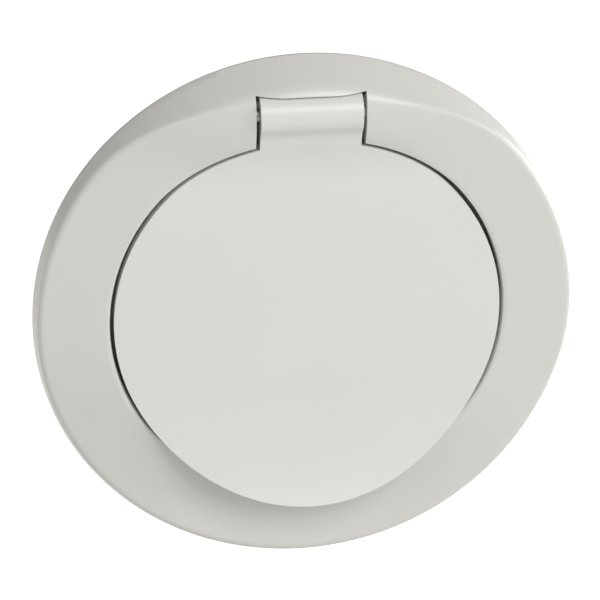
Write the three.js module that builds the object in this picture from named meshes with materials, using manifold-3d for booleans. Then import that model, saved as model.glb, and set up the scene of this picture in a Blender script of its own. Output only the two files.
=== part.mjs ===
// Round hinged-lid cover of a flush socket outlet.
// Millimetres, +Z up. The cover hangs on a wall whose surface is the plane y = 0, and its front faces -Y.
// "Height" means the distance in front of the wall, so a height h is the coordinate y = -h.

import * as THREE from 'three';
import { mergeVertices } from 'three/addons/utils/BufferGeometryUtils.js';
import Module from 'manifold-3d';

const wasm = await Module();
wasm.setup();

// ---- driving dimensions ----

const GAP = 0.3;

const RIM_RADIUS = 31;
const RIM_EDGE = 0.5;
const HOOD_RADIUS = 28.1;
const HOOD_HEIGHT = 5;
const HOOD_ROUND = 1.2;
const CREST_RISE = 0.45;
const SHOULDER_RADIUS = 30.4;
const SIDE_HEIGHT = 3.1;
const SIDE_ROUND = 0.6;
const LOWER_SIDE_DROP = 1.4;
const BOTTOM_DROP = 0.7;
const LIP_DROP = 1.7;
const SCOOP_DEPTH = 0.35;

const LID_RADIUS = 22;
const LID_CENTRE_Z = 0.61;
const TOP_ARC_RADIUS = 23.4;
const TOP_ARC_Z = -1.22;
const LID_FACE = 3.3;
const LID_SHEET = 1.6;
const LID_REACH = 24;
const LIP_START_Z = -8;
const LIP_CURVE = 0.0215;
const NECK_START_Z = 17;
const NECK_CURVE = 0.045;
const SKIRT_OUTER = 20.9;
const SKIRT_INNER = 19.7;
const SIDE_GAP = 0.45;
const TOP_GAP = 0.35;

const HINGE_Z = 25.3;
const HINGE_HEIGHT = 3.5;
const BARREL_RADIUS = 2.35;
const BARREL_HALF = 5.55;
const SLOT_HALF = 6;
const SLOT_END_DEG = 57;
const BARREL_START_DEG = -42;
const BARREL_BACK_DEG = 240;
const SLOT_FLOOR = 0.8;
const SLOT_REACH = 14;
const PIN_RADIUS = 0.75;
const PIN_HALF = 8;
const SPRING_HALF = 3.2;
const SPRING_POCKET = 1.7;
const COIL_RADIUS = 1.23;

const COLLAR_OUTER = 25;
const COLLAR_INNER = 23.8;
const COLLAR_DEPTH = 7;
const GROOVE_FRONT = 3.2;
const GROOVE_WIDTH = 1.1;
const GROOVE_DEPTH = 0.6;
const SHELF_DEPTH = 1.2;

const WELL_RADIUS = 19.5;
const WELL_WALL = 1.5;
const FLANGE_FRONT = SHELF_DEPTH + GAP;
const FLANGE_BACK = FLANGE_FRONT + 1.5;
const RECESS_DEPTH = 15;
const FLOOR_FRONT = FLANGE_FRONT + RECESS_DEPTH;
const FLOOR_BACK = FLOOR_FRONT + 1.8;

const PIN_PITCH = 19;
const LIVE_HOLE_RADIUS = 2.6;
const EARTH_HOLE_RADIUS = 2.75;
const EARTH_HOLE_Z = 10;

const SHUTTER_TRAVEL = 5.6;
const SHUTTER_FRONT = FLOOR_BACK + GAP;
const SHUTTER_BACK = SHUTTER_FRONT + 2.4;
const SHUTTER_HALF = 12.9;
const SHUTTER_BOTTOM = -3.6;
const SHUTTER_TOP = 9.2;
const WINDOW_RADIUS = 2.75;
const RAMP_HALF = 2.3;
const RAMP_DEPTH = 1.1;
const CARRIER_RADIUS = 18.5;
const CARRIER_BACK = SHUTTER_BACK + GAP + 1.4;
const POCKET_BOTTOM = -12.2;
const POCKET_TOP = 10;

const CARRIER_SCREWS = { left: [-7, 14.2], right: [7, 14.2], bottom: [0, -15.4] };

const LINER_FRONT = 1.3;
const LINER_SHANK = 0.8;
const LINER_HEAD = 1.6;
const LINER_HEAD_DEPTH = 0.4;
const LINER_SCREW_TIP = 2.8;
const BOSS_RADIUS = 2.2;
const LINER_SCREWS = { left: [-9, -13], right: [9, -13] };

const CLIP_ANGLES = { upper_right: 45, lower_right: 135, lower_left: 225, upper_left: 315 };

// ---- materials ----

const finish = (color, roughness, metalness = 0) =>
  new THREE.MeshStandardMaterial({ color, roughness, metalness });
const coverPlastic = finish(0xd9d8d4, 0.4);
const insertPlastic = finish(0xd3d2cd, 0.45);
const shutterPlastic = finish(0x9a9c9c, 0.5);
const rubber = finish(0x3a3b3c, 0.85);
const springSteel = finish(0xb9bbbe, 0.3, 1);

// ---- solids ----

function windingSign(geometry) {
  const p = geometry.attributes.position;
  const index = geometry.index.array;
  const [a, b, c] = [new THREE.Vector3(), new THREE.Vector3(), new THREE.Vector3()];
  let volume = 0;
  for (let i = 0; i < index.length; i += 3) {
    a.fromBufferAttribute(p, index[i]);
    b.fromBufferAttribute(p, index[i + 1]);
    c.fromBufferAttribute(p, index[i + 2]);
    volume += a.dot(b.cross(c));
  }
  return Math.sign(volume);
}

// Turns any closed three.js geometry into a solid whose faces point out.
function solid(geometry) {
  const bare = geometry.clone();
  bare.deleteAttribute('normal');
  bare.deleteAttribute('uv');
  const merged = mergeVertices(bare, 1e-4);
  const index = merged.index.array;
  const flip = windingSign(merged) < 0;
  const triangles = [];
  for (let i = 0; i < index.length; i += 3) {
    const [a, b, c] = [index[i], index[i + 1], index[i + 2]];
    if (a === b || b === c || c === a) continue;
    triangles.push(a, flip ? c : b, flip ? b : c);
  }
  const vertProperties = new Float32Array(merged.attributes.position.array);
  const triVerts = new Uint32Array(triangles);
  return new wasm.Manifold(new wasm.Mesh({ numProp: 3, vertProperties, triVerts }));
}

function part(name, shape, material) {
  const { vertProperties, triVerts } = shape.getMesh();
  const geometry = new THREE.BufferGeometry();
  geometry.setAttribute('position', new THREE.BufferAttribute(vertProperties, 3));
  geometry.setIndex(new THREE.BufferAttribute(triVerts, 1));
  geometry.computeVertexNormals();
  const mesh = new THREE.Mesh(geometry, material);
  mesh.name = name;
  return mesh;
}

// A cylinder along Y, from depth y0 to depth y1.
function drum(radius, y0, y1, [x, z] = [0, 0], sides = 60) {
  const geometry = new THREE.CylinderGeometry(radius, radius, y1 - y0, sides);
  return solid(geometry.translate(x, (y0 + y1) / 2, z));
}

// A cylinder along X, centred on the hinge axis.
function hingeRod(radius, x0, x1, sides = 28) {
  const geometry = new THREE.CylinderGeometry(radius, radius, x1 - x0, sides).rotateZ(Math.PI / 2);
  return solid(geometry.translate((x0 + x1) / 2, -HINGE_HEIGHT, HINGE_Z));
}

function block(x0, x1, y0, y1, z0, z1) {
  const geometry = new THREE.BoxGeometry(x1 - x0, y1 - y0, z1 - z0);
  return solid(geometry.translate((x0 + x1) / 2, (y0 + y1) / 2, (z0 + z1) / 2));
}

// An outline of [z, height] points, extruded along X over the half width.
function sideProfile(outline, half) {
  const shape = new THREE.Shape(outline.map(([z, height]) => new THREE.Vector2(z, height)));
  const geometry = new THREE.ExtrudeGeometry(shape, { depth: 2 * half, bevelEnabled: false });
  const axes = new THREE.Matrix4().set(0, 0, 1, -half, 0, -1, 0, 0, 1, 0, 0, 0, 0, 0, 0, 1);
  return solid(geometry.applyMatrix4(axes));
}

// A profile of [radius, y] points turned round the Y axis.
function turned(profile, sides = 60) {
  const points = profile.concat([profile[0]]).map(([r, y]) => new THREE.Vector2(r, y));
  return solid(new THREE.LatheGeometry(points, sides));
}

// A wire of round section along a path of points.
function wire(points, radius, steps, sides = 8) {
  const circle = new THREE.Shape();
  circle.absarc(0, 0, radius, 0, 2 * Math.PI);
  const extrudePath = new THREE.CatmullRomCurve3(points);
  const options = { steps, extrudePath, bevelEnabled: false, curveSegments: sides / 2 };
  return solid(new THREE.ExtrudeGeometry(circle, options));
}

const radians = THREE.MathUtils.degToRad;
const mix = THREE.MathUtils.lerp;
const ease = (value, from, to) => THREE.MathUtils.smoothstep(value, from, to);

// ---- lid ----

// Front of the lid: flat in the middle, curling out to a finger lip below and to the hinge above.
function lidHeight(z) {
  const lip = Math.max(0, LIP_START_Z - z);
  const neck = Math.max(0, z - NECK_START_Z);
  return LID_FACE + LIP_CURVE * lip * lip + NECK_CURVE * neck * neck;
}

function heightsAlongLid(drop, count = 18) {
  const zs = Array.from({ length: count + 1 }, (_, i) => mix(-LID_REACH, LID_REACH, i / count));
  return zs.map((z) => [z, lidHeight(z) - drop]);
}

function aroundHinge(degrees, radius) {
  const a = radians(degrees);
  return [HINGE_Z + radius * Math.sin(a), HINGE_HEIGHT + radius * Math.cos(a)];
}

function hingeArc(from, to, radius, count) {
  return Array.from({ length: count + 1 }, (_, i) => aroundHinge(mix(from, to, i / count), radius));
}

// The tab that rises from the top of the lid and ends in the hinge barrel.
function lidTab() {
  const root = [18, 20, 21.4, 22.6].map((z) => [z, lidHeight(z)]);
  const barrel = hingeArc(BARREL_START_DEG, BARREL_BACK_DEG, BARREL_RADIUS, 20);
  const underside = root.slice(0, 2).reverse().map(([z, height]) => [z, height - LID_SHEET]);
  const tab = sideProfile([...root, ...barrel, ...underside], BARREL_HALF);
  // The pocket stays open behind the pin, so that the barrel clears the spring's leg as it turns.
  const legBottom = HINGE_Z - COIL_RADIUS - 0.5;
  const legRoom = block(-SPRING_HALF, SPRING_HALF, -HINGE_HEIGHT, 0, legBottom, HINGE_Z + BARREL_RADIUS);
  const springPocket = hingeRod(SPRING_POCKET, -SPRING_HALF, SPRING_HALF).add(legRoom);
  return tab.subtract(springPocket).subtract(hingeRod(PIN_RADIUS + GAP, -PIN_HALF, PIN_HALF, 20));
}

function lidShell() {
  const lidDisc = (radius) => drum(radius, -LID_REACH, 0, [0, LID_CENTRE_Z]);
  const sheet = sideProfile([...heightsAlongLid(0), ...heightsAlongLid(LID_SHEET).reverse()], LID_REACH);
  const middle = heightsAlongLid(LID_SHEET / 2);
  const behindFront = sideProfile([...middle, [LID_REACH, 0], [-LID_REACH, 0]], LID_REACH);
  const skirt = lidDisc(SKIRT_OUTER).subtract(lidDisc(SKIRT_INNER)).intersect(behindFront);
  const topArc = drum(TOP_ARC_RADIUS, -LID_REACH, 0, [0, TOP_ARC_Z]);
  let shell = sheet.intersect(lidDisc(LID_RADIUS)).intersect(topArc).add(skirt).add(lidTab());
  for (const [x, z] of Object.values(LINER_SCREWS)) {
    const boss = drum(BOSS_RADIUS, -lidHeight(z) + LID_SHEET / 2, -LINER_FRONT - GAP, [x, z], 20);
    shell = shell.add(boss).subtract(drum(LINER_SHANK + GAP, -LINER_SCREW_TIP - GAP, 0, [x, z], 14));
  }
  return shell;
}

function lidLiner() {
  let liner = drum(SKIRT_INNER - GAP, -LINER_FRONT, 0, [0, LID_CENTRE_Z]);
  for (const place of Object.values(LINER_SCREWS)) {
    const clearance = drum(LINER_SHANK + GAP, -LINER_FRONT - 1, 1, place, 14);
    const countersink = drum(LINER_HEAD + GAP, -LINER_HEAD_DEPTH - GAP, 1, place, 14);
    liner = liner.subtract(clearance).subtract(countersink);
  }
  return liner;
}

function lidGasket() {
  const outer = drum(SKIRT_OUTER, GAP, SHELF_DEPTH, [0, LID_CENTRE_Z]);
  return outer.subtract(drum(SKIRT_INNER, 0, SHELF_DEPTH + 1, [0, LID_CENTRE_Z]));
}

// Screw along Y with its head at the back and its tip pointing to the front.
function screw([x, z], headRadius, headFront, headBack, shankRadius, tip, slotWidth) {
  const head = drum(headRadius, headFront, headBack, [x, z], 24);
  const shank = drum(shankRadius, tip, headFront + 0.2, [x, z], 14);
  const slotFloor = (headBack + headFront) / 2;
  const slot = block(x - headRadius, x + headRadius, slotFloor, headBack + 1, z - slotWidth, z + slotWidth);
  return head.add(shank).subtract(slot);
}

// ---- trim ring ----

// Every value below runs with the angle in degrees from the top of the ring, 0 to 180.
const distanceToCircle = (a, radius, centreZ) => {
  const lean = centreZ * Math.sin(radians(a));
  return centreZ * Math.cos(radians(a)) + Math.sqrt(radius ** 2 - lean ** 2);
};
const openingRadius = (a) => Math.min(
  distanceToCircle(a, LID_RADIUS + SIDE_GAP, LID_CENTRE_Z),
  distanceToCircle(a, TOP_ARC_RADIUS + TOP_GAP, TOP_ARC_Z),
);
const flushHeight = (a) => lidHeight(Math.max(0, openingRadius(a) * Math.cos(radians(a))));
const innerHeight = (a) => flushHeight(a) - LIP_DROP * ease(a, 105, 155);
const shoulderRadius = (a) => mix(HOOD_RADIUS, SHOULDER_RADIUS, ease(a, 14, 50));
const shoulderHeight = (a) => {
  const fromHood = mix(HOOD_HEIGHT, SIDE_HEIGHT, ease(a, 18, 56));
  return fromHood - LOWER_SIDE_DROP * ease(a, 86, 122) - BOTTOM_DROP * ease(a, 115, 160);
};
const crestRise = (a) => CREST_RISE * (1 - ease(a, 14, 46));
const scoop = (a) => SCOOP_DEPTH * ease(a, 120, 160);
const shoulderRound = (a) => mix(HOOD_ROUND, SIDE_ROUND, ease(a, 12, 32));

// Front of one radial section, from the lid opening out to the rim, as [radius, height] points.
function frontSection(a) {
  const inner = [openingRadius(a), innerHeight(a)];
  const shoulder = [shoulderRadius(a), shoulderHeight(a)];
  const base = [RIM_RADIUS, RIM_EDGE];
  const face = (s) => {
    const swell = crestRise(a) * Math.sin(Math.PI * s ** 0.8) - scoop(a) * Math.sin(Math.PI * s);
    return [mix(inner[0], shoulder[0], s), mix(inner[1], shoulder[1], s) + swell];
  };
  const before = 1 - shoulderRound(a) / (shoulder[0] - inner[0]);
  const wall = new THREE.Vector2(base[0] - shoulder[0], base[1] - shoulder[1]);
  const after = Math.min(0.5, shoulderRound(a) / wall.length());
  const start = face(before);
  const end = [mix(shoulder[0], base[0], after), mix(shoulder[1], base[1], after)];
  const rounded = [0.33, 0.67].map((t) => [0, 1].map((k) =>
    (1 - t) ** 2 * start[k] + 2 * t * (1 - t) * shoulder[k] + t * t * end[k]));
  const rise = [0.02, 0.25, 0.5, 0.75].map((s) => face(s * before));
  return [[inner[0], inner[1] - 0.15], ...rise, start, ...rounded, end, base];
}

function ringSection(a) {
  const front = frontSection(a).map(([r, height]) => [r, -height]);
  return [
    ...front,
    [RIM_RADIUS, 0],
    [COLLAR_OUTER, 0],
    [COLLAR_OUTER, COLLAR_DEPTH],
    [COLLAR_INNER, COLLAR_DEPTH],
    [COLLAR_INNER, SHELF_DEPTH],
    [openingRadius(a), SHELF_DEPTH],
  ];
}

// A lathe whose section changes with the angle round the ring.
function ringBody(sides = 64) {
  const first = ringSection(0);
  const count = first.length + 1;
  const outline = first.concat([first[0]]).map(([r, y]) => new THREE.Vector2(r, y));
  const geometry = new THREE.LatheGeometry(outline, sides);
  const p = geometry.attributes.position;
  for (let turn = 0; turn <= sides; turn++) {
    const angle = 360 * (turn % sides) / sides;
    const section = ringSection(Math.min(angle, 360 - angle));
    for (let j = 0; j < count; j++) {
      const [r, y] = section[j % first.length];
      p.setXYZ(turn * count + j, r * Math.sin(radians(angle)), y, r * Math.cos(radians(angle)));
    }
  }
  return solid(geometry);
}

// Room for the barrel and tab: closed behind and above the barrel, open to the front and to the lid.
function hingeSlot() {
  const swing = BARREL_RADIUS + GAP;
  const fan = hingeArc(SLOT_END_DEG, -60, SLOT_REACH, 6);
  const mouth = sideProfile([[HINGE_Z, HINGE_HEIGHT], ...fan], SLOT_HALF);
  const front = block(-SLOT_HALF, SLOT_HALF, -SLOT_REACH, -SLOT_FLOOR, SKIRT_INNER, HINGE_Z);
  return hingeRod(swing, -SLOT_HALF, SLOT_HALF, 36).add(mouth).add(front);
}

// Blind bores for the two ends of the pin, each with a channel to the back that the pin snaps in through.
function pinSeats() {
  const reach = PIN_HALF + GAP;
  const half = PIN_RADIUS - 0.1;
  const channel = (x0, x1) => block(x0, x1, -HINGE_HEIGHT, COLLAR_DEPTH + 1, HINGE_Z - half, HINGE_Z + half);
  const bore = hingeRod(PIN_RADIUS + GAP, -reach, reach, 20);
  return bore.add(channel(-reach, 0.1 - SLOT_HALF)).add(channel(SLOT_HALF - 0.1, reach));
}

function trimRing() {
  const groove = drum(COLLAR_INNER + GROOVE_DEPTH, GROOVE_FRONT, GROOVE_FRONT + GROOVE_WIDTH);
  return ringBody().subtract(hingeSlot()).subtract(pinSeats()).subtract(groove);
}

// ---- hinge ----

// Torsion spring round the pin, with a leg that bears on the ring behind the barrel.
function hingeSpring() {
  const [wireRadius, coilHalf, turns, perTurn] = [0.16, 1.9, 4.5, 10];
  const steps = turns * perTurn;
  const points = [];
  for (let i = 0; i <= steps; i++) {
    const a = -Math.PI / 2 + 2 * Math.PI * (i - steps) / perTurn;
    const [up, forward] = [COIL_RADIUS * Math.sin(a), -COIL_RADIUS * Math.cos(a)];
    points.push(new THREE.Vector3(mix(-coilHalf, coilHalf, i / steps), -HINGE_HEIGHT - forward, HINGE_Z + up));
  }
  const legEnd = -HINGE_HEIGHT + Math.sqrt((BARREL_RADIUS + GAP) ** 2 - COIL_RADIUS ** 2) - 2 * GAP;
  points.push(new THREE.Vector3(coilHalf, legEnd, HINGE_Z - COIL_RADIUS));
  return wire(points, wireRadius, steps + 2, 6);
}

// ---- recess, shutter and carrier ----

const liveHoles = (radius, y0, y1, z = 0) =>
  drum(radius, y0, y1, [-PIN_PITCH / 2, z], 24).add(drum(radius, y0, y1, [PIN_PITCH / 2, z], 24));

function socketWell() {
  const outer = WELL_RADIUS + WELL_WALL;
  const shell = turned([
    [WELL_RADIUS + 0.5, FLANGE_FRONT],
    [COLLAR_INNER - GAP, FLANGE_FRONT],
    [COLLAR_INNER - GAP, FLANGE_BACK],
    [outer, FLANGE_BACK],
    [outer - 0.3, FLOOR_BACK],
    [8, FLOOR_BACK],
    [8, FLOOR_FRONT],
    [WELL_RADIUS - 0.8, FLOOR_FRONT],
    [WELL_RADIUS - 0.2, FLOOR_FRONT - 0.6],
    [WELL_RADIUS, FLANGE_FRONT + 0.5],
  ]);
  let well = shell.add(drum(8.5, FLOOR_FRONT, FLOOR_BACK));
  well = well.subtract(liveHoles(LIVE_HOLE_RADIUS, FLOOR_FRONT - 1, FLOOR_BACK + 1));
  well = well.subtract(drum(EARTH_HOLE_RADIUS, FLOOR_FRONT - 1, FLOOR_BACK + 1, [0, EARTH_HOLE_Z], 24));
  for (const place of Object.values(CARRIER_SCREWS)) {
    well = well.subtract(drum(1 + GAP, FLOOR_BACK - 1.3, FLOOR_BACK + 1, place, 14));
  }
  return well;
}

// Open wire ring, sprung into the collar's groove behind the flange of the recess.
function snapRing() {
  const radius = COLLAR_INNER - 0.1;
  const y = GROOVE_FRONT + GROOVE_WIDTH / 2;
  const count = 40;
  const points = [];
  for (let i = 0; i <= count; i++) {
    const a = radians(mix(190, 530, i / count));
    points.push(new THREE.Vector3(radius * Math.sin(a), y, radius * Math.cos(a)));
  }
  return wire(points, 0.4, count, 6);
}

// U-shaped plate: its blank half covers the live holes, its windows stand one travel above them.
function shutterSlider() {
  const half = PIN_PITCH / 2;
  let slider = block(-SHUTTER_HALF, SHUTTER_HALF, SHUTTER_FRONT, SHUTTER_BACK, SHUTTER_BOTTOM, SHUTTER_TOP);
  slider = slider.subtract(block(-5.6, 5.6, 0, 40, 2, 20));
  slider = slider.subtract(liveHoles(WINDOW_RADIUS, 0, 40, SHUTTER_TRAVEL));
  const face = -SHUTTER_FRONT;
  const clear = face + 1;
  const ramp = [[-RAMP_HALF, face - RAMP_DEPTH], [-RAMP_HALF, clear], [RAMP_HALF, clear], [RAMP_HALF, face]];
  for (const side of [-half, half]) {
    slider = slider.subtract(sideProfile(ramp, RAMP_HALF).translate([side, 0, 0]));
  }
  return slider;
}

function shutterCarrier() {
  let carrier = drum(CARRIER_RADIUS, SHUTTER_FRONT, CARRIER_BACK);
  const pocketHalf = SHUTTER_HALF + GAP;
  const pocketBack = SHUTTER_BACK + GAP;
  carrier = carrier.subtract(block(-pocketHalf, pocketHalf, 0, pocketBack, POCKET_BOTTOM, POCKET_TOP));
  carrier = carrier.subtract(liveHoles(LIVE_HOLE_RADIUS + 0.4, 0, 40));
  carrier = carrier.subtract(drum(EARTH_HOLE_RADIUS + GAP, 0, 40, [0, EARTH_HOLE_Z], 24));
  for (const place of Object.values(CARRIER_SCREWS)) {
    carrier = carrier.subtract(drum(1 + GAP, 0, 40, place, 14));
  }
  return carrier;
}

function shutterSpring(x) {
  const [coilRadius, wireRadius, turns] = [0.85, 0.17, 6];
  const perTurn = 8;
  const steps = turns * perTurn;
  const bottom = POCKET_BOTTOM + GAP + wireRadius;
  const top = SHUTTER_BOTTOM - GAP - wireRadius;
  const y = (SHUTTER_FRONT + SHUTTER_BACK) / 2;
  const points = [];
  for (let i = 0; i <= steps; i++) {
    const a = 2 * Math.PI * i / perTurn;
    const z = mix(bottom, top, i / steps);
    points.push(new THREE.Vector3(x + coilRadius * Math.cos(a), y + coilRadius * Math.sin(a), z));
  }
  return wire(points, wireRadius, steps, 4);
}

// Spring-steel strip folded over the back edge of the collar, with a barb that bites into the outlet frame.
function retainingClip(angle) {
  const t = 0.35;
  const [inside, outside] = [COLLAR_INNER - 0.8, COLLAR_OUTER + GAP];
  const end = COLLAR_DEPTH + GAP;
  const outline = [
    [inside, 4.9],
    [inside + t, 4.9],
    [inside + t, end],
    [outside, end],
    [outside + 0.75, 4.4],
    [outside, 2.2],
    [outside + t, 2.0],
    [outside + t + 0.85, 4.4],
    [outside + t, end + t],
    [inside, end + t],
  ];
  const strip = sideProfile(outline.map(([r, y]) => [r, -y]), 2.5);
  return strip.rotate([0, angle, 0]);
}

// ---- assembly ----

const cover = new THREE.Group();
cover.name = 'hinged_socket_cover';

cover.add(part('trim_ring', trimRing(), coverPlastic));
cover.add(part('socket_well', socketWell(), insertPlastic));
cover.add(part('well_snap_ring', snapRing(), springSteel));
for (const [place, angle] of Object.entries(CLIP_ANGLES)) {
  cover.add(part(`retaining_clip_${place}`, retainingClip(angle), springSteel));
}

cover.add(part('shutter_carrier', shutterCarrier(), shutterPlastic));
cover.add(part('shutter_slider', shutterSlider(), shutterPlastic));
cover.add(part('shutter_spring_left', shutterSpring(-7), springSteel));
cover.add(part('shutter_spring_right', shutterSpring(7), springSteel));
for (const [place, position] of Object.entries(CARRIER_SCREWS)) {
  const carrierScrew = screw(position, 2.1, CARRIER_BACK + GAP, CARRIER_BACK + 1.7, 1, FLOOR_BACK - 1, 0.3);
  cover.add(part(`carrier_screw_${place}`, carrierScrew, springSteel));
}

cover.add(part('hinge_pin', hingeRod(PIN_RADIUS, -PIN_HALF, PIN_HALF, 20), springSteel));
cover.add(part('hinge_spring', hingeSpring(), springSteel));
cover.add(part('lid_shell', lidShell(), coverPlastic));
cover.add(part('lid_liner', lidLiner(), insertPlastic));
cover.add(part('lid_gasket', lidGasket(), rubber));
for (const [place, position] of Object.entries(LINER_SCREWS)) {
  const linerScrew = screw(position, LINER_HEAD, -LINER_HEAD_DEPTH, 0, LINER_SHANK, -LINER_SCREW_TIP, 0.2);
  cover.add(part(`liner_screw_${place}`, linerScrew, springSteel));
}

export default cover;
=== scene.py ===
"""Looks of a round hinged-lid cover for a flush socket outlet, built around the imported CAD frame.

Shapes are worked out in millimetres, with +Z up and the front facing -Y, and turned into metres at the end.
"Height" is the distance in front of the wall plane y = 0, so a height h lies at y = -h.
"""

import math

import bmesh
import bpy
from mathutils import Matrix, Vector


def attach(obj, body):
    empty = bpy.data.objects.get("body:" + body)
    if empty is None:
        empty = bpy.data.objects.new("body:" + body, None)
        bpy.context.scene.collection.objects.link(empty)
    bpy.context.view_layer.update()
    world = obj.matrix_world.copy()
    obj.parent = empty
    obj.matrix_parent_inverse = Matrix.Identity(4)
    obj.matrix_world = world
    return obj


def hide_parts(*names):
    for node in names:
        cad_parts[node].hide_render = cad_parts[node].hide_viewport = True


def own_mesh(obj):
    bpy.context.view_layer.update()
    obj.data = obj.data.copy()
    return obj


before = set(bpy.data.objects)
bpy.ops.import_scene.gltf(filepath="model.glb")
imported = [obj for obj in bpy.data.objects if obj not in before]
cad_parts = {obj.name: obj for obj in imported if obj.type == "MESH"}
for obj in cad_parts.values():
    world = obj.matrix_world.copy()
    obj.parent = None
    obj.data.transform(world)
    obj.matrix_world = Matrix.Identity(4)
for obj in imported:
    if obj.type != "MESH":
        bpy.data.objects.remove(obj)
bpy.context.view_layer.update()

MM = 0.001


# ---- dimensions of the cover, as in the CAD ----

GAP = 0.3
RIM_RADIUS = 31.0
RIM_EDGE = 0.5
HOOD_RADIUS = 28.1
HOOD_HEIGHT = 5.0
HOOD_ROUND = 1.2
CREST_RISE = 0.45
SHOULDER_RADIUS = 30.4
SIDE_HEIGHT = 3.1
SIDE_ROUND = 0.6
LOWER_SIDE_DROP = 1.4
BOTTOM_DROP = 0.7
LIP_DROP = 1.7
SCOOP_DEPTH = 0.35
LID_RADIUS = 22.0
LID_CENTRE_Z = 0.61
TOP_ARC_RADIUS = 23.4
TOP_ARC_Z = -1.22
LID_FACE = 3.3
LID_SHEET = 1.6
LID_REACH = 24.0
NECK_ROOT_Z = 21.4
LIP_START_Z = -8.0
LIP_CURVE = 0.0215
NECK_START_Z = 17.0
NECK_CURVE = 0.045
SKIRT_OUTER = 20.9
SKIRT_INNER = 19.7
SIDE_GAP = 0.45
TOP_GAP = 0.35
HINGE_Z = 25.3
HINGE_HEIGHT = 3.5
BARREL_RADIUS = 2.35
BARREL_HALF = 5.55
SLOT_HALF = 6.0
SLOT_END_DEG = 57.0
BARREL_START_DEG = -42.0
BARREL_BACK_DEG = 240.0
SLOT_BACK_DEG = 200.0
SLOT_FLOOR = 0.8
SLOT_REACH = 14.0
SLOT_INNER_Z = 18.0
PIN_RADIUS = 0.75
PIN_HALF = 8.0
SPRING_HALF = 3.2
SPRING_POCKET = 1.7
COIL_RADIUS = 1.23
COIL_HALF = 1.9
COIL_TURNS = 4.5
COIL_WIRE = 0.16
COLLAR_OUTER = 25.0
COLLAR_INNER = 23.8
COLLAR_DEPTH = 7.0
GROOVE_FRONT = 3.2
GROOVE_WIDTH = 1.1
GROOVE_DEPTH = 0.6
SNAP_RING_WIRE = 0.4
SHELF_DEPTH = 1.2
WELL_RADIUS = 19.5
WELL_WALL = 1.5
FLANGE_FRONT = SHELF_DEPTH + GAP
FLANGE_BACK = FLANGE_FRONT + 1.5
FLOOR_FRONT = FLANGE_FRONT + 15.0
FLOOR_BACK = FLOOR_FRONT + 1.8
PIN_PITCH = 19.0
LIVE_HOLE_RADIUS = 2.6
EARTH_HOLE_RADIUS = 2.75
EARTH_HOLE_Z = 10.0
SHUTTER_TRAVEL = 5.6
SHUTTER_FRONT = FLOOR_BACK + GAP
SHUTTER_BACK = SHUTTER_FRONT + 2.4
SHUTTER_HALF = 12.9
SHUTTER_BOTTOM = -3.6
SHUTTER_TOP = 9.2
SHUTTER_SPRING_X = 7.0
NOTCH_HALF = 5.6
NOTCH_BOTTOM = 2.0
WINDOW_RADIUS = 2.75
RAMP_HALF = 2.3
RAMP_DEPTH = 1.1
CARRIER_RADIUS = 18.5
CARRIER_BACK = SHUTTER_BACK + GAP + 1.4
POCKET_BOTTOM = -12.2
POCKET_TOP = 10.0
SHUTTER_SPRING_SEAT_Z = POCKET_BOTTOM + GAP
SHUTTER_SPRING_LENGTH = SHUTTER_BOTTOM - GAP - SHUTTER_SPRING_SEAT_Z
SHUTTER_SPRING_RADIUS = 0.85
SHUTTER_SPRING_TURNS = 7
SHUTTER_SPRING_WIRE = 0.17
CARRIER_HEAD = 2.1
CARRIER_HEAD_FRONT = CARRIER_BACK + GAP
CARRIER_HEAD_BACK = CARRIER_HEAD_FRONT + 1.4
CARRIER_SHANK = 1.0
CARRIER_SCREW_TIP = FLOOR_BACK - 1.0
CARRIER_SCREWS = {"left": (-7.0, 14.2), "right": (7.0, 14.2), "bottom": (0.0, -15.4)}
LINER_FRONT = 1.3
LINER_SHANK = 0.8
LINER_HEAD = 1.6
LINER_HEAD_DEPTH = 0.4
LINER_SCREW_TIP = 2.8
BOSS_RADIUS = 2.2
LINER_SCREWS = {"left": (-9.0, -13.0), "right": (9.0, -13.0)}
CLIP_ANGLES = {"upper_right": 45, "lower_right": 135, "lower_left": 225, "upper_left": 315}
CLIP_SHEET = 0.35
CLIP_HALF_WIDTH = 2.5
SMOOTH_DEG = 32.0


# ---- small maths ----

def mix(a, b, t):
    """Value the share t of the way from a to b."""
    return a + (b - a) * t


def ease(value, low, high):
    """Smooth step from 0 at low to 1 at high."""
    t = min(1.0, max(0.0, (value - low) / (high - low)))
    return t * t * (3 - 2 * t)


def steps(count):
    """Evenly spaced values from 0 to 1, both included."""
    return [i / count for i in range(count + 1)]


# ---- mesh building, in millimetres ----

def mesh_object(name, points, faces):
    mesh = bpy.data.meshes.new(name)
    mesh.from_pydata([tuple(p) for p in points], [], faces)
    mesh.update()
    piece = bpy.data.objects.new(name, mesh)
    bpy.context.scene.collection.objects.link(piece)
    tidy(piece)
    return piece


def tidy(piece):
    """Welds doubled points and turns every face outwards."""
    work = bmesh.new()
    work.from_mesh(piece.data)
    bmesh.ops.remove_doubles(work, verts=work.verts, dist=1e-4)
    bmesh.ops.dissolve_degenerate(work, edges=work.edges, dist=1e-5)
    loose = [edge for edge in work.edges if not edge.link_faces]
    bmesh.ops.delete(work, geom=loose, context="EDGES")
    bmesh.ops.recalc_face_normals(work, faces=work.faces)
    work.to_mesh(piece.data)
    work.free()


def loop_solid(name, sections):
    """A closed ring of closed sections, all with the same number of points."""
    points = [p for section in sections for p in section]
    rows, count = len(sections), len(sections[0])
    faces = []
    for i in range(rows):
        for j in range(count):
            a, b = i * count + j, i * count + (j + 1) % count
            c, d = ((i + 1) % rows) * count + (j + 1) % count, ((i + 1) % rows) * count + j
            faces.append((a, b, c, d))
    return mesh_object(name, points, faces)


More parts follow.
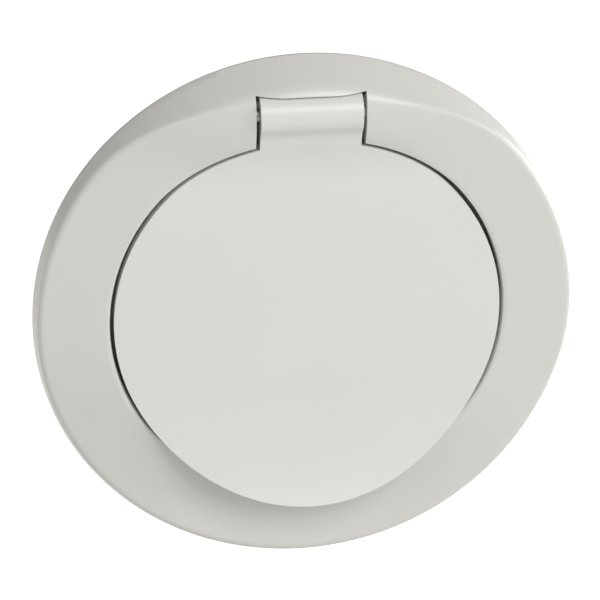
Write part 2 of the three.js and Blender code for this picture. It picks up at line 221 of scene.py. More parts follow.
def turned(name, profile, centre=(0.0, 0.0), sides=160):
    """A closed profile of (radius, y) points turned round the Y axis through centre, given as (x, z)."""
    sections = []
    for i in range(sides):
        a = 2 * math.pi * i / sides
        sections.append([(centre[0] + r * math.sin(a), y, centre[1] + r * math.cos(a)) for r, y in profile])
    return loop_solid(name, sections)


def drum(name, radius, y0, y1, centre=(0.0, 0.0), sides=96):
    """Solid cylinder along Y."""
    return turned(name, [(0.0, y0), (radius, y0), (radius, y1), (0.0, y1)], centre, sides)


def bore(radius, y0, y1, centre=(0.0, 0.0), flare=0.2):
    """Cutter for a round hole along Y from y0 to y1, with both mouths chamfered."""
    wide = radius + flare
    front_mouth = [(0.0, y0 - 1), (wide, y0 - 1), (wide, y0), (radius, y0 + flare)]
    back_mouth = [(radius, y1 - flare), (wide, y1), (wide, y1 + 1), (0.0, y1 + 1)]
    return turned("bore", front_mouth + back_mouth, centre, sides=64)


def hinge_turned(name, profile, sides=64):
    """A closed profile of (radius, x) points turned round the hinge axis."""
    sections = []
    for i in range(sides):
        a = 2 * math.pi * i / sides
        sections.append([(x, -HINGE_HEIGHT + r * math.sin(a), HINGE_Z + r * math.cos(a)) for r, x in profile])
    return loop_solid(name, sections)


def hinge_rod(radius, x0, x1):
    """Cutter for a round hole along the hinge axis."""
    return hinge_turned("rod", [(0.0, x0), (radius, x0), (radius, x1), (0.0, x1)])


def wire(name, path, radius, sides=14):
    """A round wire along a path of points, with flat ends."""
    path = [Vector(p) for p in path]
    points = []
    across = None
    for i, p in enumerate(path):
        ahead = (path[min(i + 1, len(path) - 1)] - path[max(i - 1, 0)]).normalized()
        across = ahead.orthogonal() if across is None else across
        across = (across - ahead * across.dot(ahead)).normalized()
        side = ahead.cross(across)
        for k in range(sides):
            a = 2 * math.pi * k / sides
            points.append(p + (across * math.cos(a) + side * math.sin(a)) * radius)
    last = (len(path) - 1) * sides
    faces = [tuple(range(sides)), tuple(range(last + sides - 1, last - 1, -1))]
    for i in range(len(path) - 1):
        for k in range(sides):
            a, b = i * sides + k, i * sides + (k + 1) % sides
            faces.append((a, b, b + sides, a + sides))
    return mesh_object(name, points, faces)


def threaded_shank(radius, tip, root, centre, pitch=0.62, depth=0.17, sides=40):
    """Pointed shank along Y whose thread climbs one pitch a turn."""
    count = round(10 * (root - tip) / pitch)
    sections = []
    for i in range(sides):
        a = 2 * math.pi * i / sides
        section = [(centre[0], tip, centre[1])]
        for t in steps(count):
            y = mix(tip, root, t)
            ridge = abs(2 * ((y / pitch - i / sides) % 1.0) - 1)
            r = (radius - depth * ridge) * mix(0.3, 1.0, ease(y, tip, tip + 1.4 * radius))
            section.append((centre[0] + r * math.sin(a), y, centre[1] + r * math.cos(a)))
        sections.append(section + [(centre[0], root, centre[1])])
    return loop_solid("shank", sections)


def side_profile(name, outline, x0, x1):
    """A closed outline of (z, height) points, extruded along X."""
    count = len(outline)
    points = [(x, -h, z) for x in (x0, x1) for z, h in outline]
    faces = [tuple(range(count)), tuple(range(2 * count - 1, count - 1, -1))]
    faces += [(i, (i + 1) % count, count + (i + 1) % count, count + i) for i in range(count)]
    return mesh_object(name, points, faces)


def front_outline(name, outline, y0, y1):
    """A closed outline of (x, z) points, extruded along Y."""
    count = len(outline)
    points = [(x, y, z) for y in (y0, y1) for x, z in outline]
    faces = [tuple(range(count)), tuple(range(2 * count - 1, count - 1, -1))]
    faces += [(i, (i + 1) % count, count + (i + 1) % count, count + i) for i in range(count)]
    return mesh_object(name, points, faces)


def block(name, x, y, z):
    """Box between the two limits given for each axis."""
    corners = [(z[0], -y[0]), (z[1], -y[0]), (z[1], -y[1]), (z[0], -y[1])]
    return side_profile(name, corners, x[0], x[1])


def apply_modifiers(piece):
    bpy.context.view_layer.update()
    evaluated = piece.evaluated_get(bpy.context.evaluated_depsgraph_get())
    mesh = bpy.data.meshes.new_from_object(evaluated)
    piece.modifiers.clear()
    piece.data = mesh


def combine(piece, other, operation):
    """Joins, cuts or intersects piece with other, which is used up."""
    modifier = piece.modifiers.new("combine", "BOOLEAN")
    modifier.operation = operation
    modifier.solver = "EXACT"
    modifier.object = other
    apply_modifiers(piece)
    bpy.data.objects.remove(other)
    return piece


def cut(piece, *others):
    for other in others:
        combine(piece, other, "DIFFERENCE")
    return piece


def join(piece, *others):
    for other in others:
        combine(piece, other, "UNION")
    return piece


def round_edges(piece, width, segments, angle=35):
    """Rounds every edge that bends by more than angle degrees."""
    modifier = piece.modifiers.new("round", "BEVEL")
    modifier.width = width
    modifier.segments = segments
    modifier.limit_method = "ANGLE"
    modifier.angle_limit = math.radians(angle)
    modifier.use_clamp_overlap = True
    apply_modifiers(piece)
    return piece


def finish_piece(piece, body, material, *nodes):
    """Turns a piece into metres and puts it on its body in place of its CAD nodes."""
    piece.data.transform(Matrix.Scale(MM, 4))
    for polygon in piece.data.polygons:
        polygon.use_smooth = True
    work = bmesh.new()
    work.from_mesh(piece.data)
    limit = math.radians(SMOOTH_DEG)
    for edge in work.edges:
        edge.smooth = len(edge.link_faces) == 2 and edge.calc_face_angle(0.0) < limit
    work.to_mesh(piece.data)
    work.free()
    piece.data.materials.clear()
    piece.data.materials.append(material)
    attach(piece, body)
    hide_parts(*nodes)
    return piece


# ---- materials ----

def new_material(name, colour, roughness, metallic=0.0):
    material = bpy.data.materials.new(name)
    material.use_nodes = True
    shader = material.node_tree.nodes["Principled BSDF"]
    shader.inputs["Base Color"].default_value = (*colour, 1)
    shader.inputs["Roughness"].default_value = roughness
    shader.inputs["Metallic"].default_value = metallic
    return material, material.node_tree, shader


def noise(tree, scale, detail=4.0, stretch=(1, 1, 1)):
    """Noise in the piece's own metres."""
    coordinates = tree.nodes.new("ShaderNodeTexCoord")
    mapping = tree.nodes.new("ShaderNodeMapping")
    mapping.inputs["Scale"].default_value = stretch
    texture = tree.nodes.new("ShaderNodeTexNoise")
    texture.inputs["Scale"].default_value = scale
    texture.inputs["Detail"].default_value = detail
    tree.links.new(coordinates.outputs["Object"], mapping.inputs["Vector"])
    tree.links.new(mapping.outputs["Vector"], texture.inputs["Vector"])
    return texture.outputs["Fac"]


def spread(tree, value, low, high):
    """Maps a value from 0 to 1 onto low to high."""
    node = tree.nodes.new("ShaderNodeMapRange")
    node.inputs["To Min"].default_value = low
    node.inputs["To Max"].default_value = high
    tree.links.new(value, node.inputs["Value"])
    return node.outputs["Result"]


def add_bump(tree, shader, value, distance):
    bump = tree.nodes.new("ShaderNodeBump")
    bump.inputs["Distance"].default_value = distance
    tree.links.new(value, bump.inputs["Height"])
    tree.links.new(bump.outputs["Normal"], shader.inputs["Normal"])


def tint(tree, shader, value, dark, light):
    """Colours the surface between dark and light by value."""
    ramp = tree.nodes.new("ShaderNodeValToRGB")
    ramp.color_ramp.elements[0].position = 0.35
    ramp.color_ramp.elements[0].color = (*dark, 1)
    ramp.color_ramp.elements[1].position = 0.65
    ramp.color_ramp.elements[1].color = (*light, 1)
    tree.links.new(value, ramp.inputs["Fac"])
    tree.links.new(ramp.outputs["Color"], shader.inputs["Base Color"])


def moulded_plastic(name, colour, roughness, grain):
    """Injection-moulded plastic: faint flow clouds in the colour and a fine spark-eroded grain."""
    material, tree, shader = new_material(name, colour, roughness)
    tint(tree, shader, noise(tree, 60), [c * 0.985 for c in colour], colour)
    rough = spread(tree, noise(tree, 900), roughness - 0.04, roughness + 0.04)
    tree.links.new(rough, shader.inputs["Roughness"])
    add_bump(tree, shader, noise(tree, 5200, detail=2), grain)
    shader.inputs["Specular IOR Level"].default_value = 0.45
    return material


def drawn_steel(name, colour, roughness, stretch=(1, 1, 1)):
    """Bare steel with fine drawing lines."""
    material, tree, shader = new_material(name, colour, roughness, metallic=1.0)
    lines = noise(tree, 2400, detail=6, stretch=stretch)
    tint(tree, shader, lines, [c * 0.86 for c in colour], colour)
    tree.links.new(spread(tree, lines, roughness - 0.06, roughness + 0.12), shader.inputs["Roughness"])
    add_bump(tree, shader, lines, 2e-6)
    return material


def soft_rubber(name, colour):
    """Matt rubber with a slight bloom."""
    material, tree, shader = new_material(name, colour, 0.8)
    tint(tree, shader, noise(tree, 400), [c * 0.8 for c in colour], [c * 1.2 for c in colour])
    add_bump(tree, shader, noise(tree, 3600, detail=5), 8e-6)
    shader.inputs["Sheen Weight"].default_value = 0.15
    return material


COVER = moulded_plastic("cover_plastic", (0.785, 0.777, 0.745), 0.33, 1.2e-6)
RING = moulded_plastic("ring_plastic", (0.712, 0.704, 0.668), 0.30, 1.2e-6)
INSERT = moulded_plastic("insert_plastic", (0.780, 0.768, 0.730), 0.45, 2.0e-6)
SHUTTER = moulded_plastic("shutter_plastic", (0.33, 0.335, 0.335), 0.5, 2.5e-6)
SEAL = soft_rubber("seal_rubber", (0.045, 0.046, 0.048))
SPRING = drawn_steel("spring_steel", (0.62, 0.62, 0.63), 0.28, stretch=(1, 1, 0.2))
SCREW = drawn_steel("screw_steel", (0.66, 0.665, 0.67), 0.34)


# ---- lid ----

def lid_height(z):
    """Front of the lid: flat in the middle, curling out to a lip below and up to the hinge above."""
    lip = max(0.0, LIP_START_Z - z)
    neck = max(0.0, z - NECK_START_Z)
    return LID_FACE + LIP_CURVE * lip ** 2 + NECK_CURVE * neck ** 2


def around_hinge(degrees, radius):
    """Point (z, height) at a distance from the hinge axis: 0 degrees is straight ahead and 90 is upwards."""
    a = math.radians(degrees)
    return HINGE_Z + radius * math.sin(a), HINGE_HEIGHT + radius * math.cos(a)


def hinge_arc(start, end, radius, count):
    """Arc round the hinge axis, from start to end degrees."""
    return [around_hinge(mix(start, end, t), radius) for t in steps(count)]


def neck_curve(count=16):
    """Smooth rise of the tab's front from the lid to the barrel, as (z, height) points."""
    z0 = NECK_ROOT_Z
    h0 = lid_height(z0)
    z1, h1 = around_hinge(BARREL_START_DEG, BARREL_RADIUS)
    run = z1 - z0
    slope0 = 2 * NECK_CURVE * (z0 - NECK_START_Z) * run
    slope1 = math.tan(math.radians(-BARREL_START_DEG)) * run
    points = []
    for t in steps(count)[:-1]:
        rise = (2 * t ** 3 - 3 * t ** 2 + 1) * h0 + (3 * t ** 2 - 2 * t ** 3) * h1
        points.append((z0 + run * t, rise + (t ** 3 - 2 * t ** 2 + t) * slope0 + (t ** 3 - t ** 2) * slope1))
    return points


def lid_outline():
    """Outline of the lid seen from the front: a round disc whose top is a flatter arc, with the tab on it."""
    points = []
    for t in steps(180):
        a = 360.0 * t
        side = distance_to_circle(a, LID_RADIUS, LID_CENTRE_Z)
        top = distance_to_circle(a, TOP_ARC_RADIUS, TOP_ARC_Z)
        r = min(side, top)
        x, z = r * math.sin(math.radians(a)), r * math.cos(math.radians(a))
        if z < 0 or abs(x) > BARREL_HALF:
            points.append((x, z))
    foot, end = math.sqrt(TOP_ARC_RADIUS ** 2 - BARREL_HALF ** 2) + TOP_ARC_Z, LID_REACH + 5
    return points + [(-BARREL_HALF, foot), (-BARREL_HALF, end), (BARREL_HALF, end), (BARREL_HALF, foot)]


def make_lid_shell():
    """Sheet with a curled lip, a hinge barrel and a skirt behind it, with bosses for the liner's screws."""
    zs = [mix(-LID_REACH, NECK_ROOT_Z, t) for t in steps(120)[:-1]]
    front = [(z, lid_height(z)) for z in zs]
    sheet_end_z = 20.0
    back = [(z, lid_height(z) - LID_SHEET) for z in reversed(zs) if z < sheet_end_z]
    barrel = hinge_arc(BARREL_START_DEG, BARREL_BACK_DEG, BARREL_RADIUS, 64)
    shell = side_profile("lid_shell_moulding", front + neck_curve() + barrel + back, -LID_REACH, LID_REACH)
    combine(shell, front_outline("plan", lid_outline(), -16.0, 6.0), "INTERSECT")
    wall = [(SKIRT_INNER, -14), (SKIRT_OUTER, -14), (SKIRT_OUTER, 0), (SKIRT_INNER, 0)]
    skirt = turned("skirt", wall, (0, LID_CENTRE_Z))
    middle = [(z, lid_height(z) - LID_SHEET / 2) for z in zs]
    behind = middle + [(LID_REACH, middle[-1][1]), (LID_REACH, 0.0), (-LID_REACH, 0.0)]
    combine(skirt, side_profile("behind", behind, -LID_REACH, LID_REACH), "INTERSECT")
    join(shell, skirt)
    for x, z in LINER_SCREWS.values():
        join(shell, drum("boss", BOSS_RADIUS, -lid_height(z) + LID_SHEET / 2, -LINER_FRONT - GAP, (x, z)))
        cut(shell, drum("screw_hole", LINER_SHANK + 0.1, -LINER_SCREW_TIP - 0.2, 0.0, (x, z), sides=48))
    leg_top, leg_bottom = HINGE_Z + BARREL_RADIUS, HINGE_Z - COIL_RADIUS - 0.5
    leg_room = block("leg_room", (-SPRING_HALF, SPRING_HALF), (-HINGE_HEIGHT, 0.0), (leg_bottom, leg_top))
    spring_pocket = hinge_rod(SPRING_POCKET, -SPRING_HALF, SPRING_HALF)
    pin_bore = hinge_rod(PIN_RADIUS + 0.12, -PIN_HALF, PIN_HALF)
    return cut(shell, leg_room, spring_pocket, pin_bore)


def make_lid_liner():
    """Disc with two shallow grooves in its back and a counterbored hole for each screw."""
    radius, edge = SKIRT_INNER - GAP, 0.25
    profile = [(0.0, -LINER_FRONT), (radius - edge, -LINER_FRONT), (radius, edge - LINER_FRONT),
               (radius, -edge), (radius - edge, 0.0)]
    for middle in (12.5, 7.0):
        profile += [(middle + 0.57, 0.0), (middle + 0.5, -0.3), (middle - 0.5, -0.3), (middle - 0.57, 0.0)]
    liner = turned("lid_liner_disc", profile + [(0.0, 0.0)], (0, LID_CENTRE_Z))
    shank, head, seat = LINER_SHANK + 0.15, LINER_HEAD + 0.15, -LINER_HEAD_DEPTH - 0.05
    in_front, behind = -LINER_FRONT - 1, 1.0
    hole = [(0.0, in_front), (shank, in_front), (shank, seat), (head, seat), (head, behind), (0.0, behind)]
    for place in LINER_SCREWS.values():
        cut(liner, turned("screw_hole", hole, place, sides=64))
    return liner


def make_lid_gasket():
    """Soft ring with a bead towards the recess and a shallow notch in front."""
    middle, half = (SKIRT_OUTER + SKIRT_INNER) / 2, (SKIRT_OUTER - SKIRT_INNER) / 2
    bead = [(middle + half * math.cos(a), SHELF_DEPTH - half * 0.75 + half * 0.75 * math.sin(a))
            for a in (math.pi * t for t in steps(14))]
    notch = [(middle - 0.15, GAP), (middle, GAP + 0.15), (middle + 0.15, GAP)]
    profile = [(middle + half, GAP)] + bead + [(middle - half, GAP)] + notch
    return turned("lid_gasket_ring", profile, (0, LID_CENTRE_Z))


# ---- trim ring ----
# Every value runs with the angle in degrees from the top of the ring, 0 to 180.

def distance_to_circle(a, radius, centre_z):
    """Distance from the ring's centre to a circle whose own centre lies at centre_z."""
    lean = centre_z * math.sin(math.radians(a))
    return centre_z * math.cos(math.radians(a)) + math.sqrt(radius ** 2 - lean ** 2)


def opening_radius(a):
    side = distance_to_circle(a, LID_RADIUS + SIDE_GAP, LID_CENTRE_Z)
    top = distance_to_circle(a, TOP_ARC_RADIUS + TOP_GAP, TOP_ARC_Z)
    return min(side, top)


def inner_height(a):
    """Height at the opening: flush with the lid, and lower under its lip."""
    flush = lid_height(max(0.0, opening_radius(a) * math.cos(math.radians(a))))
    return flush - LIP_DROP * ease(a, 105, 155)


def shoulder_radius(a):
    return mix(HOOD_RADIUS, SHOULDER_RADIUS, ease(a, 14, 50))


def shoulder_height(a):
    from_hood = mix(HOOD_HEIGHT, SIDE_HEIGHT, ease(a, 18, 56))
    return from_hood - LOWER_SIDE_DROP * ease(a, 86, 122) - BOTTOM_DROP * ease(a, 115, 160)


def crest_rise(a):
    """Swell of the hood over the hinge."""
    return CREST_RISE * (1 - ease(a, 14, 46))


def scoop(a):
    """Dip for a fingertip under the lid's lip."""
    return SCOOP_DEPTH * ease(a, 120, 160)


def shoulder_round(a):
    return mix(HOOD_ROUND, SIDE_ROUND, ease(a, 12, 32))


def front_section(a):
    """Front of one radial section, from the lid opening out to the rim, as (radius, height) points."""
    r0, h0 = opening_radius(a), inner_height(a)
    r1, h1 = shoulder_radius(a), shoulder_height(a)

    def face(s):
        swell = crest_rise(a) * math.sin(math.pi * s ** 0.8) - scoop(a) * math.sin(math.pi * s)
        return mix(r0, r1, s), mix(h0, h1, s) + swell

    before = 1 - shoulder_round(a) / (r1 - r0)
    wall = math.hypot(RIM_RADIUS - r1, RIM_EDGE - h1)
    after = min(0.5, shoulder_round(a) / wall)
    start = face(before)
    end = (mix(r1, RIM_RADIUS, after), mix(h1, RIM_EDGE, after))
    edge = 0.25
    lead = face(edge / (r1 - r0))
    inner = [(r0, lead[1] - edge), (r0 + 0.07, lead[1] - 0.07)]
    rise = [face(mix(edge / (r1 - r0), before, t)) for t in steps(22)[:-1]]
    rounded = [((1 - t) ** 2 * start[0] + 2 * t * (1 - t) * r1 + t * t * end[0],
                (1 - t) ** 2 * start[1] + 2 * t * (1 - t) * h1 + t * t * end[1]) for t in steps(8)]
    wall_points = [(mix(end[0], RIM_RADIUS, t), mix(end[1], RIM_EDGE, t)) for t in steps(5)[1:]]
    return inner + rise + rounded + wall_points


def ring_section(a):
    front = [(r, -h) for r, h in front_section(a)]
    back = [
        (RIM_RADIUS, -0.12),
        (RIM_RADIUS - 0.12, 0.0),
        (COLLAR_OUTER + 0.2, 0.0),
        (COLLAR_OUTER, 0.2),
        (COLLAR_OUTER, COLLAR_DEPTH - 0.3),
        (COLLAR_OUTER - 0.3, COLLAR_DEPTH),
        (COLLAR_INNER + 0.3, COLLAR_DEPTH),
        (COLLAR_INNER, COLLAR_DEPTH - 0.3),
        (COLLAR_INNER, SHELF_DEPTH),
        (opening_radius(a), SHELF_DEPTH),
    ]
    return front + back


def make_trim_ring():
    """Moulded ring with the hinge slot, the pin's seats and the snap ring's groove."""
    sides = 288
    sections = []
    for i in range(sides):
        angle = 360.0 * i / sides
        across, up = math.sin(math.radians(angle)), math.cos(math.radians(angle))
        sections.append([(r * across, y, r * up) for r, y in ring_section(min(angle, 360 - angle))])
    ring = loop_solid("trim_ring_moulding", sections)
    swing = BARREL_RADIUS + GAP
    corners = [(SLOT_INNER_Z, SLOT_REACH), (SLOT_INNER_Z, SLOT_FLOOR), (HINGE_Z - 1.2, SLOT_FLOOR)]
    behind_barrel = hinge_arc(SLOT_BACK_DEG, SLOT_END_DEG, swing, 40)
    slot = [around_hinge(SLOT_END_DEG, SLOT_REACH)] + corners + behind_barrel
    cut(ring, side_profile("slot", slot, -SLOT_HALF, SLOT_HALF))
    reach, half = PIN_HALF + GAP, PIN_RADIUS - 0.1
    cut(ring, hinge_rod(PIN_RADIUS + 0.15, -reach, reach))
    for x in ((-reach, 0.1 - SLOT_HALF), (SLOT_HALF - 0.1, reach)):
        cut(ring, block("channel", x, (-HINGE_HEIGHT, COLLAR_DEPTH + 1), (HINGE_Z - half, HINGE_Z + half)))
    groove = drum("groove", COLLAR_INNER + GROOVE_DEPTH, GROOVE_FRONT, GROOVE_FRONT + GROOVE_WIDTH, sides=288)
    return cut(ring, groove)


# ---- hinge pin, springs, screws and clips ----

def make_hinge_pin():
    r, end, chamfer = PIN_RADIUS, PIN_HALF, 0.2
    half = [(r, end - chamfer), (r - chamfer, end), (0.0, end)]
    return hinge_turned("hinge_pin_rod", [(radius, -x) for radius, x in reversed(half)] + half)


def make_hinge_spring():
    """Torsion spring on the pin, with one leg that reaches back towards the ring."""
    per_turn = 32
    count = round(COIL_TURNS * per_turn)
    path = []
    for i in range(count + 1):
        a = 2 * math.pi * (i - count) / per_turn - math.pi / 2
        x = mix(-COIL_HALF, COIL_HALF, i / count)
        path.append((x, -HINGE_HEIGHT + COIL_RADIUS * math.cos(a), HINGE_Z + COIL_RADIUS * math.sin(a)))
    leg_end = math.sqrt((BARREL_RADIUS + GAP) ** 2 - COIL_RADIUS ** 2) - 2 * GAP - HINGE_HEIGHT
    for t in steps(8)[1:]:
        path.append((COIL_HALF, mix(-HINGE_HEIGHT, leg_end, t), HINGE_Z - COIL_RADIUS))
    return wire("hinge_spring_coil", path, COIL_WIRE)


def make_shutter_spring(name, x):
    """Compression spring under the shutter. Its end turns lie close together, as on a ground spring."""
    per_turn = 28
    coil, wire_radius = SHUTTER_SPRING_RADIUS, SHUTTER_SPRING_WIRE
    bottom = SHUTTER_SPRING_SEAT_Z + wire_radius
    top = SHUTTER_SPRING_SEAT_Z + SHUTTER_SPRING_LENGTH - wire_radius
    middle_y = (SHUTTER_FRONT + SHUTTER_BACK) / 2
    path = []
    for t in steps(SHUTTER_SPRING_TURNS * per_turn):
        a = 2 * math.pi * SHUTTER_SPRING_TURNS * t
        z = mix(bottom, top, 0.88 * ease(t, 0.0, 1.0) + 0.12 * t)
        path.append((x + coil * math.cos(a), middle_y + coil * math.sin(a), z))
    return wire(name, path, wire_radius)


def make_snap_ring():
    """Wire ring in the collar's groove, open for 20 degrees at the bottom."""
    radius, y = COLLAR_INNER - 0.1, GROOVE_FRONT + GROOVE_WIDTH / 2
    angles = [math.radians(mix(190, 530, t)) for t in steps(240)]
    return wire("well_snap_ring_wire", [(radius * math.sin(a), y, radius * math.cos(a)) for a in angles],
                SNAP_RING_WIRE)


def make_screw(name, centre, head_radius, head_front, head_back, shank_radius, tip, slot_half):
    """Slotted pan-head screw along Y, with its head at the back."""
    height = head_back - head_front
    dome = [(head_radius * math.cos(a), head_front + height * (0.45 + 0.55 * math.sin(a)))
            for a in (math.pi / 2 * t for t in steps(10))]
    underside = [(0.0, head_front), (head_radius - 0.1, head_front), (head_radius, head_front + 0.1)]
    screw = turned(name, underside + dome, centre, sides=64)
    join(screw, threaded_shank(shank_radius, tip, head_front + 0.1, centre))
    slot_floor = (head_front + head_back) / 2
    x, z = centre
    return cut(screw, block("slot", (x - 2 * head_radius, x + 2 * head_radius), (slot_floor, head_back + 1),
                            (z - slot_half, z + slot_half)))


def make_clip(name, angle):
    """Folded strip over the back edge of the collar, with a barb outside."""
    t = CLIP_SHEET
    inside, outside, end = COLLAR_INNER - 0.8, COLLAR_OUTER + GAP, COLLAR_DEPTH + GAP
    outline = [(inside, 4.9), (inside + t, 4.9), (inside + t, end), (outside, end), (outside + 0.75, 4.4),
               (outside, 2.2), (outside + t, 2.0), (outside + t + 0.85, 4.4), (outside + t, end + t),
               (inside, end + t)]
    clip = side_profile(name, [(r, -y) for r, y in outline], -CLIP_HALF_WIDTH, CLIP_HALF_WIDTH)
    round_edges(clip, 0.11, segments=3, angle=15)
    clip.data.transform(Matrix.Rotation(math.radians(angle), 4, "Y"))
    return clip


# ---- recess, shutter and carrier ----

def cut_pin_holes(piece, live_radius, earth_radius, y0, y1, flare):
    for x in (-PIN_PITCH / 2, PIN_PITCH / 2):
        cut(piece, bore(live_radius, y0, y1, (x, 0.0), flare))
    return cut(piece, bore(earth_radius, y0, y1, (0.0, EARTH_HOLE_Z), flare))


def make_socket_well():
    """Cup with a flange in front and holes in its floor for the plug's pins, the earth pin and the screws."""
    outer, corner = WELL_RADIUS + WELL_WALL, 1.2
    fillet = [(WELL_RADIUS - corner * (1 - math.cos(a)), FLOOR_FRONT - corner * (1 - math.sin(a)))
              for a in (math.pi / 2 * t for t in steps(10))]
    profile = [
        (WELL_RADIUS + 0.5, FLANGE_FRONT),
        (COLLAR_INNER - GAP - 0.2, FLANGE_FRONT),
        (COLLAR_INNER - GAP, FLANGE_FRONT + 0.2),
        (COLLAR_INNER - GAP, FLANGE_BACK - 0.2),
        (COLLAR_INNER - GAP - 0.2, FLANGE_BACK),
        (outer + 0.3, FLANGE_BACK),
        (outer, FLANGE_BACK + 0.3),
        (outer - 0.3, FLOOR_BACK - 0.5),
        (outer - 0.8, FLOOR_BACK),
        (0.0, FLOOR_BACK),
        (0.0, FLOOR_FRONT),
    ]
    well = turned("socket_well_moulding", profile + fillet[::-1] + [(WELL_RADIUS, FLANGE_FRONT + 0.5)])
    cut_pin_holes(well, LIVE_HOLE_RADIUS, EARTH_HOLE_RADIUS, FLOOR_FRONT, FLOOR_BACK, 0.35)
    for place in CARRIER_SCREWS.values():
        hole_end = CARRIER_SCREW_TIP - 0.2
        cut(well, drum("screw_hole", CARRIER_SHANK + 0.1, hole_end, FLOOR_BACK + 1.0, place, sides=48))
    return well


def make_shutter_slider():
    """Plate with a ramp over each pin hole and a window above the ramp, notched round the earth pin."""
    slider = block("shutter_slider_plate", (-SHUTTER_HALF, SHUTTER_HALF), (SHUTTER_FRONT, SHUTTER_BACK),
                   (SHUTTER_BOTTOM, SHUTTER_TOP))
    cut(slider, block("notch", (-NOTCH_HALF, NOTCH_HALF), (0.0, 40.0), (NOTCH_BOTTOM, 20.0)))
    round_edges(slider, 0.3, segments=4)
    face = -SHUTTER_FRONT
    ramp = [(-RAMP_HALF, face - RAMP_DEPTH), (-RAMP_HALF, face + 1), (RAMP_HALF, face + 1), (RAMP_HALF, face)]
    for x in (-PIN_PITCH / 2, PIN_PITCH / 2):
        cut(slider, bore(WINDOW_RADIUS, SHUTTER_FRONT, SHUTTER_BACK, (x, SHUTTER_TRAVEL), 0.25))
        cut(slider, side_profile("ramp", ramp, x - RAMP_HALF, x + RAMP_HALF))
    return slider


def make_shutter_carrier():
    """Round plate with a pocket in front for the shutter and its springs."""
    r, edge = CARRIER_RADIUS, 0.4
    front = [(0.0, SHUTTER_FRONT), (r - edge, SHUTTER_FRONT), (r, SHUTTER_FRONT + edge)]
    rear = [(r, CARRIER_BACK - edge), (r - edge, CARRIER_BACK), (0.0, CARRIER_BACK)]
    carrier = turned("shutter_carrier_moulding", front + rear)
    half, back = SHUTTER_HALF + GAP, SHUTTER_BACK + GAP
    pocket = block("pocket", (-half, half), (0.0, back), (POCKET_BOTTOM, POCKET_TOP))
    cut(carrier, round_edges(pocket, 0.5, segments=4))
    cut_pin_holes(carrier, LIVE_HOLE_RADIUS + 0.4, EARTH_HOLE_RADIUS + GAP, SHUTTER_FRONT, CARRIER_BACK, 0.3)
    for place in CARRIER_SCREWS.values():
        cut(carrier, bore(CARRIER_SHANK + GAP, SHUTTER_FRONT, CARRIER_BACK, place, 0.15))
    return carrier


# ---- camera, floor and light ----

def make_camera():
    azimuth, elevation = math.radians(-8.405), math.radians(24.227)
    lens, distance = 120.0, 229.27
    look = Vector((math.sin(azimuth) * math.cos(elevation), -math.cos(azimuth) * math.cos(elevation),
                   math.sin(elevation)))
    right = Vector((0, 0, 1)).cross(look).normalized()
    up = look.cross(right)
    offset_right, offset_up = 0.558, -1.467
    place = look * distance - right * offset_right - up * offset_up
    camera = bpy.data.objects.new("camera", bpy.data.cameras.new("camera"))
    camera.data.lens = lens
    camera.data.clip_start = 0.01
    camera.matrix_world = Matrix((right, up, look)).transposed().to_4x4()
    camera.location = place * MM
    bpy.context.scene.collection.objects.link(camera)
    bpy.context.scene.camera = camera


def area_light(name, direction, distance, size, power):
    """Round lamp, in metres and watts, that shines at the object from a direction."""
    light = bpy.data.objects.new(name, bpy.data.lights.new(name, "AREA"))
    light.data.shape = "DISK"
    light.data.size = size
    light.data.energy = power
    towards = Vector(direction).normalized()
    light.location = towards * distance
    light.rotation_euler = towards.to_track_quat("Z", "Y").to_euler()
    bpy.context.scene.collection.objects.link(light)


def pale_floor():
    """Floor that glows more strongly behind the object than in front of it."""
    material, tree, shader = new_material("pale_floor", (0.6, 0.6, 0.6), 0.9)
    coordinates = tree.nodes.new("ShaderNodeTexCoord")
    axes = tree.nodes.new("ShaderNodeSeparateXYZ")
    tree.links.new(coordinates.outputs["Object"], axes.inputs["Vector"])
    front_glow, back_glow, front_y, back_y = 0.3, 1.0, 0.05, 0.35
    glow = spread(tree, axes.outputs["Y"], front_glow, back_glow)
    glow.node.inputs["From Min"].default_value = front_y
    glow.node.inputs["From Max"].default_value = back_y
    tree.links.new(glow, shader.inputs["Emission Strength"])
    shader.inputs["Emission Color"].default_value = (1.0, 0.96, 0.90, 1)
    return material


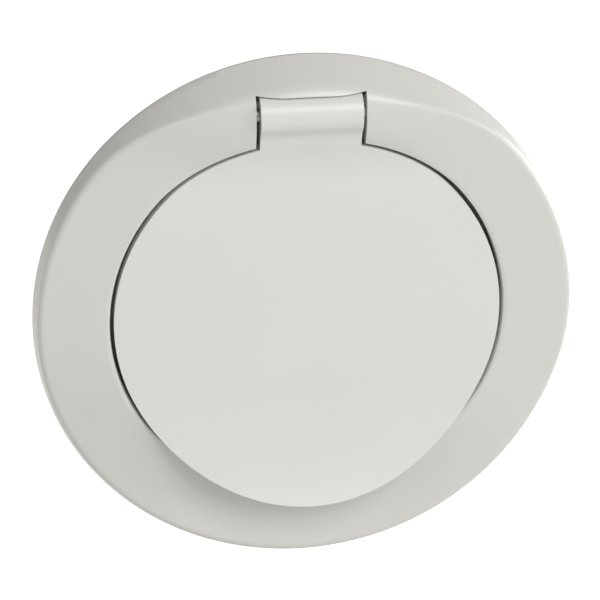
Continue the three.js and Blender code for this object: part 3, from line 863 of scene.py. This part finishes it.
def make_studio():
    """Pale floor under the object, soft light all round and four large lamps."""
    scene = bpy.context.scene
    scene.view_settings.view_transform = "Standard"
    world = bpy.data.worlds.new("studio")
    scene.world = world
    world.use_nodes = True
    world.node_tree.nodes["Background"].inputs["Color"].default_value = (1, 1, 1, 1)
    world.node_tree.nodes["Background"].inputs["Strength"].default_value = 0.23
    size, depth = 3.0, -0.3
    floor = mesh_object("floor", [(-size, -size, depth), (size, -size, depth), (size, size, depth),
                                  (-size, size, depth)], [(0, 1, 2, 3)])
    floor.data.materials.append(pale_floor())
    area_light("left", (-0.50, -0.65, 0.57), 0.8, 0.40, 0.85)
    area_light("right", (0.88, -0.36, 0.20), 0.8, 0.40, 1.95)
    area_light("front", (0.28, -0.72, 0.63), 0.7, 0.35, 2.15)
    area_light("rim", (0.87, 0.50, 0.05), 0.7, 0.30, 2.3)


# ---- the scene ----

make_camera()
make_studio()

finish_piece(make_trim_ring(), "cover", RING, "trim_ring")
finish_piece(make_socket_well(), "cover", INSERT, "socket_well")
finish_piece(make_snap_ring(), "cover", SPRING, "well_snap_ring")
for place, angle in CLIP_ANGLES.items():
    finish_piece(make_clip(f"clip_strip_{place}", angle), "cover", SPRING, f"retaining_clip_{place}")

finish_piece(make_shutter_carrier(), "cover", SHUTTER, "shutter_carrier")
finish_piece(make_shutter_slider(), "shutter", SHUTTER, "shutter_slider")
for side, x in (("left", -SHUTTER_SPRING_X), ("right", SHUTTER_SPRING_X)):
    spring = make_shutter_spring(f"shutter_coil_{side}", x)
    finish_piece(spring, "cover", SPRING, f"shutter_spring_{side}")
    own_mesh(spring)
for place, centre in CARRIER_SCREWS.items():
    screw = make_screw(f"carrier_fixing_{place}", centre, CARRIER_HEAD, CARRIER_HEAD_FRONT, CARRIER_HEAD_BACK,
                       CARRIER_SHANK, CARRIER_SCREW_TIP, slot_half=0.3)
    finish_piece(screw, "cover", SCREW, f"carrier_screw_{place}")

finish_piece(make_hinge_pin(), "cover", SCREW, "hinge_pin")
finish_piece(make_hinge_spring(), "cover", SPRING, "hinge_spring")
finish_piece(make_lid_shell(), "lid", COVER, "lid_shell")
finish_piece(make_lid_liner(), "lid", INSERT, "lid_liner")
finish_piece(make_lid_gasket(), "lid", SEAL, "lid_gasket")
for place, centre in LINER_SCREWS.items():
    screw = make_screw(f"liner_fixing_{place}", centre, LINER_HEAD, -LINER_HEAD_DEPTH, 0.0,
                       LINER_SHANK, -LINER_SCREW_TIP, slot_half=0.2)
    finish_piece(screw, "lid", SCREW, f"liner_screw_{place}")
